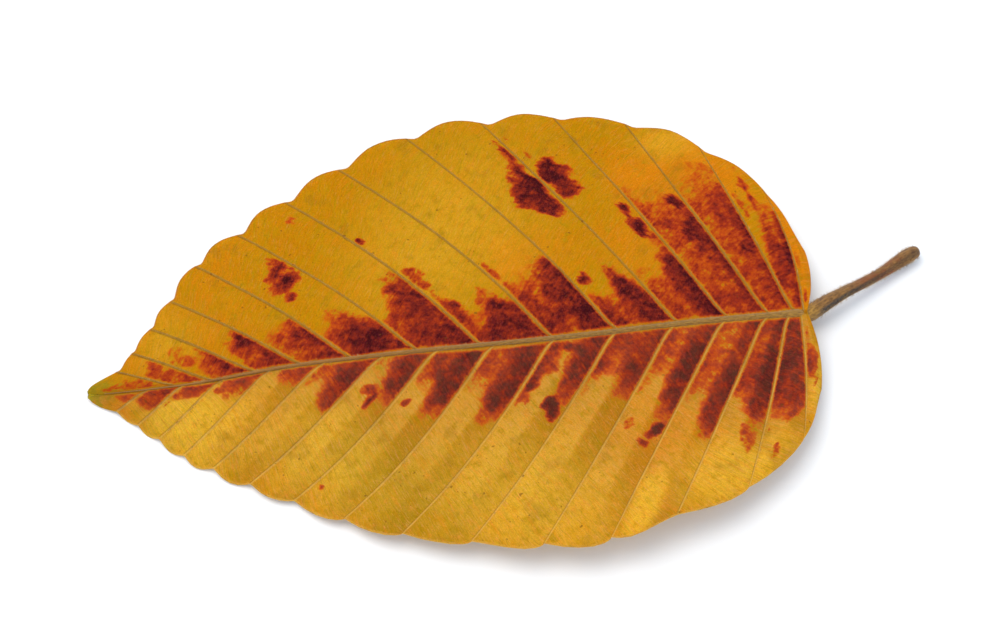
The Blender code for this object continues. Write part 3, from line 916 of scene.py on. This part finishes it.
def stainSkin(n, noise, colour):
    # the stained skin, and how strong the stain is
    stain = n.mark("stain")
    # the skin stays clean in a fringed band along the veins and the midrib
    fringe = n.maths("ADD", n.centred(noise["cells"], 0.22), n.centred(noise["fine"], 0.30))
    byVein = n.step(n.maths("ADD", n.mark("toVein"), fringe), 0.46, 0.12)
    byRib = n.step(n.maths("ADD", n.mark("fromRib"), fringe), 0.80, 0.22)
    cleared = n.maths("MAXIMUM", byVein, byRib)
    rough = n.centred(noise["clouds"], 0.9)
    for name, swing in (("patches", 1.1), ("cells", 0.45), ("fine", 0.5), ("ribs", 0.45)):
        rough = n.maths("ADD", rough, n.centred(noise[name], swing))
    rough = n.maths("MULTIPLY", rough, n.step(stain, 0.0, 0.4))
    field = n.maths("ADD", n.maths("MULTIPLY", stain, 0.86), rough)
    kept = n.maths("SUBTRACT", 1.0, n.maths("MULTIPLY", cleared, 0.80))
    field = n.maths("MULTIPLY", field, kept, clamp=True)
    stops = ((0.16, "halo"), (0.34, "stainOrange"), (0.50, "stainRed"), (0.68, "stainBrown"),
             (0.86, "stainMaroon"), (1.0, "stainDark"))
    stained = n.ramp(field, [(position, skin[name]) for position, name in stops])
    border = n.maths("MULTIPLY", cleared, n.step(stain, 0.1, 0.5, 0.15, 0.75))
    colour = n.blend(border, colour, skin["veinBorder"])
    colour = n.blend(n.step(field, 0.06, 0.30), colour, stained)
    fleck = n.maths("MULTIPLY", n.step(noise["hairs"], 0.50, 0.70, 0.0, 0.16), n.step(field, 0.3, 0.7))
    return n.blend(fleck, colour, skin["fleck"]), field


def drawVeins(n, noise, colour, far):
    # a thin pale or brown core, with a line of painted shade along its base side where the vein lies in a
    # crease
    toVein = n.mark("toVein")
    paintedCreaseShade = n.maths("MULTIPLY", n.step(toVein, 0.30, 0.12, 0.0, 0.60), n.step(n.mark("part"), 0.5, 0.4))
    paintedCreaseShade = n.maths("MULTIPLY", paintedCreaseShade, n.step(noise["patches"], 0.3, 0.55, 0.4, 1.0))
    colour = n.blend(paintedCreaseShade, colour, skin["paintedCreaseShade"])
    veinColour = n.blend(far, skin["veinNear"], skin["veinFar"])
    core = n.step(n.maths("ADD", toVein, n.centred(noise["fine"], 0.10)), 0.17, 0.05)
    strength = n.maths("ADD", n.maths("MULTIPLY", far, 0.12), n.step(n.mark("out"), 0.20, 0.60, 0.56, 0.80))
    return n.blend(n.maths("MULTIPLY", core, strength), colour, veinColour)


def shadeSkin(n, noise, colour):
    # small changes of brightness from hair to cloud size
    shade = n.step(noise["fine"], 0.3, 0.7, 0.86, 1.08)
    shade = n.maths("MULTIPLY", shade, n.step(noise["hairs"], 0.3, 0.7, 0.93, 1.05))
    shade = n.maths("MULTIPLY", shade, n.step(noise["clouds"], 0.3, 0.7, 0.94, 1.05))
    return n.blend(1.0, colour, n.grey(shade), "MULTIPLY")


def makeSkin():
    n = Nodes("leafSkin")
    noise = skinNoises(n)
    patches, fine = noise["patches"], noise["fine"]
    far = n.step(n.mark("vein"), -0.5, 0.5)
    near = n.maths("SUBTRACT", 1.0, far)
    colour, field = stainSkin(n, noise, cleanSkin(n, noise, near))
    # a painted sheen, pale and pinkish, in patches on the near half
    paintedSheen = n.maths("MULTIPLY", near, n.step(patches, 0.3, 0.7, 0.01, 0.08))
    colour = n.blend(paintedSheen, colour, skin["paintedSheen"])
    colour = drawVeins(n, noise, colour, far)
    # a thin rim along the edge: dry golden brown on the far half, and on the near half a pale painted
    # highlight where the edge catches the light
    dryRimAndEdgeHighlight = n.step(n.maths("ADD", n.mark("fromEdge"), n.centred(patches, 0.5)), 0.32, 0.02, 0.0, 0.75)
    colour = n.blend(dryRimAndEdgeHighlight, colour, n.blend(far, skin["edgeNear"], skin["edgeFar"]))
    specks = n.maths("MULTIPLY", n.step(noise["specks"], 0.74, 0.79), 0.6)
    colour = shadeSkin(n, noise, n.blend(specks, colour, skin["speck"]))
    # the underside is paler, with the stains showing faintly
    below = n.blend(n.step(field, 0.2, 0.8, 0.0, 0.40), skin["under"], skin["stainOrange"])
    below = n.blend(n.step(n.mark("toVein"), 0.3, 0.1, 0.0, 0.8), below, skin["underVein"])
    colour = n.blend(n.mark("upper"), below, colour)
    n.link(colour, n.shader.inputs["Base Color"])
    n.link(n.maths("ADD", n.centred(fine, 0.2), skin["roughness"]), n.shader.inputs["Roughness"])
    relief = n.maths("ADD", n.maths("MULTIPLY", noise["ribs"], 0.8), n.maths("MULTIPLY", noise["cells"], 0.4))
    relief = n.maths("ADD", relief, n.maths("MULTIPLY", noise["threads"], 0.5))
    normal = n.bump(relief, 0.8, 0.00026)
    normal = n.bump(n.maths("ADD", fine, noise["hairs"]), 0.7, 0.00006, normal)
    n.link(normal, n.shader.inputs["Normal"])
    n.shader.inputs["Specular IOR Level"].default_value = skin["gloss"]
    n.shader.inputs["Subsurface Weight"].default_value = skin["glow"]
    n.shader.inputs["Subsurface Radius"].default_value = (1.0, 0.45, 0.05)
    n.shader.inputs["Subsurface Scale"].default_value = skin["glowDepth"]
    return n.material


bark = {
    "tan": tint(164, 116, 56),
    "brown": tint(104, 68, 36),
    "red": tint(144, 76, 38),
    "dark": tint(48, 38, 32),
    "ribTan": tint(184, 134, 52),
    "ribOlive": tint(124, 88, 32),
    "ribTip": tint(176, 116, 40),
}


def makeBark():
    n = Nodes("leafStalkBark")
    along, turn = n.mark("along"), n.mark("turn")
    join = n.tree.nodes.new("ShaderNodeCombineXYZ")
    n.link(along, join.inputs[0])
    n.link(turn, join.inputs[1])
    place = join.outputs[0]
    fibres = n.noise(n.stretch(place, (1.4, 26, 1)), 1.0, 4, 0.65, 0.2)
    fine = n.noise(n.stretch(place, (6.0, 60, 1)), 1.0, 3, 0.65)
    blotch = n.noise(n.stretch(place, (0.35, 3.0, 1)), 1.0, 3, 0.5)
    stalkColour = n.blend(n.step(fibres, 0.35, 0.65), bark["brown"], bark["tan"])
    middle = n.maths("MULTIPLY", n.step(along, 2.0, 5.0), n.step(along, 12.0, 8.0))
    stalkColour = n.blend(n.maths("MULTIPLY", middle, n.step(blotch, 0.35, 0.6)), stalkColour, bark["red"])
    footTurn, bladeTurn = stalkForm["grooveTurn"]
    drift = n.maths("MULTIPLY", along, (bladeTurn - footTurn) / stalkForm["grooveLength"])
    fromGroove = n.maths("SUBTRACT", n.maths("SUBTRACT", turn, drift), footTurn)
    fromGroove = n.maths("ADD", fromGroove, n.centred(fine, 0.08))
    groove = n.step(n.maths("ABSOLUTE", fromGroove), 0.12, 0.03)
    byBlade = n.step(along, 3.0, 12.0, 0.45, 0.95)
    stalkColour = n.blend(n.maths("MULTIPLY", groove, byBlade), stalkColour, bark["dark"])
    ribColour = n.blend(n.step(fibres, 0.35, 0.65), bark["ribOlive"], bark["ribTan"])
    colour = n.blend(n.step(along, 15.5, 17.5), stalkColour, ribColour)
    colour = n.blend(n.step(along, 50.0, 90.0, 0.0, 0.85), colour, bark["ribTip"])
    colour = n.blend(n.step(fine, 0.62, 0.8, 0.0, 0.45), colour, bark["dark"])
    n.link(colour, n.shader.inputs["Base Color"])
    n.link(n.step(fine, 0.2, 0.8, 0.6, 0.85), n.shader.inputs["Roughness"])
    normal = n.bump(fibres, 0.8, 0.00018)
    n.link(n.bump(fine, 0.7, 0.00008, normal), n.shader.inputs["Normal"])
    n.shader.inputs["Specular IOR Level"].default_value = 0.3
    n.shader.inputs["Sheen Weight"].default_value = 0.2
    return n.material


downTints = {
    "root": tint(140, 102, 52),
    "pale": tint(196, 158, 96),
}


def makeDown():
    n = Nodes("leafDown")
    wide = n.noise(n.place(), 0.8, 3, 0.6)
    colour = n.blend(n.step(wide, 0.35, 0.65), downTints["root"], downTints["pale"])
    n.link(colour, n.shader.inputs["Base Color"])
    n.link(n.step(wide, 0.3, 0.7, 0.45, 0.7), n.shader.inputs["Roughness"])
    n.shader.inputs["Specular IOR Level"].default_value = 0.3
    return n.material


blade.data.materials.append(makeSkin())
stalk.data.materials.append(makeBark())
hairs.data.materials.append(makeDown())
print("finishes ready")


def placePieces(solids, down):
    # the pieces are made in millimetres from the blade's base; the solid ones are set in the leaf's
    # box, and the down goes with them
    corners = np.array([vert.co for piece in solids for vert in piece.data.vertices]) * mm
    low, high = corners.min(0), corners.max(0)
    shift = Vector((leafCentre.x - (low[0] + high[0]) / 2, leafCentre.y - (low[1] + high[1]) / 2,
                    leafLow.z - low[2]))
    print("shift in mm:", [round(value / mm, 3) for value in shift])
    for piece in [*solids, down]:
        for vert in piece.data.vertices:
            vert.co = vert.co * mm + shift
        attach(piece, "root")
        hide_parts("leaf")


placePieces([blade, stalk], hairs)
print("pieces placed")

studio = {
    "table": tint(250, 250, 250),
    "tableHalf": 2.5,
    "keyPower": 5.8,
    "keySize": 0.7,
    "keyFrom": (-0.26, 0.19, 1.0),
    "keyTint": (1.0, 0.93, 0.85),
    "sky": (0.79, 0.885, 1.0, 1.0),
    "skyPower": 0.97,
}


def makeTable():
    mesh = bmesh.new()
    bmesh.ops.create_grid(mesh, x_segments=1, y_segments=1, size=studio["tableHalf"])
    table = makeObject("tableTop", mesh)
    table.location.z = leafLow.z
    n = Nodes("tablePaint")
    n.shader.inputs["Base Color"].default_value = studio["table"]
    n.shader.inputs["Roughness"].default_value = 0.9
    table.data.materials.append(n.material)


def makeLights():
    key = bpy.data.lights.new("keyLight", "AREA")
    key.energy = studio["keyPower"]
    key.size = studio["keySize"]
    key.color = studio["keyTint"]
    lamp = bpy.data.objects.new("keyLight", key)
    lamp.location = Vector(studio["keyFrom"])
    lamp.rotation_euler = (-Vector(studio["keyFrom"])).to_track_quat("-Z", "Y").to_euler()
    bpy.context.scene.collection.objects.link(lamp)
    world = bpy.data.worlds.new("studioSky")
    bpy.context.scene.world = world
    world.use_nodes = True
    world.node_tree.nodes["Background"].inputs["Color"].default_value = studio["sky"]
    world.node_tree.nodes["Background"].inputs["Strength"].default_value = studio["skyPower"]
    bpy.context.scene.view_settings.view_transform = "Standard"


makeTable()
makeLights()
print("table and lights ready")
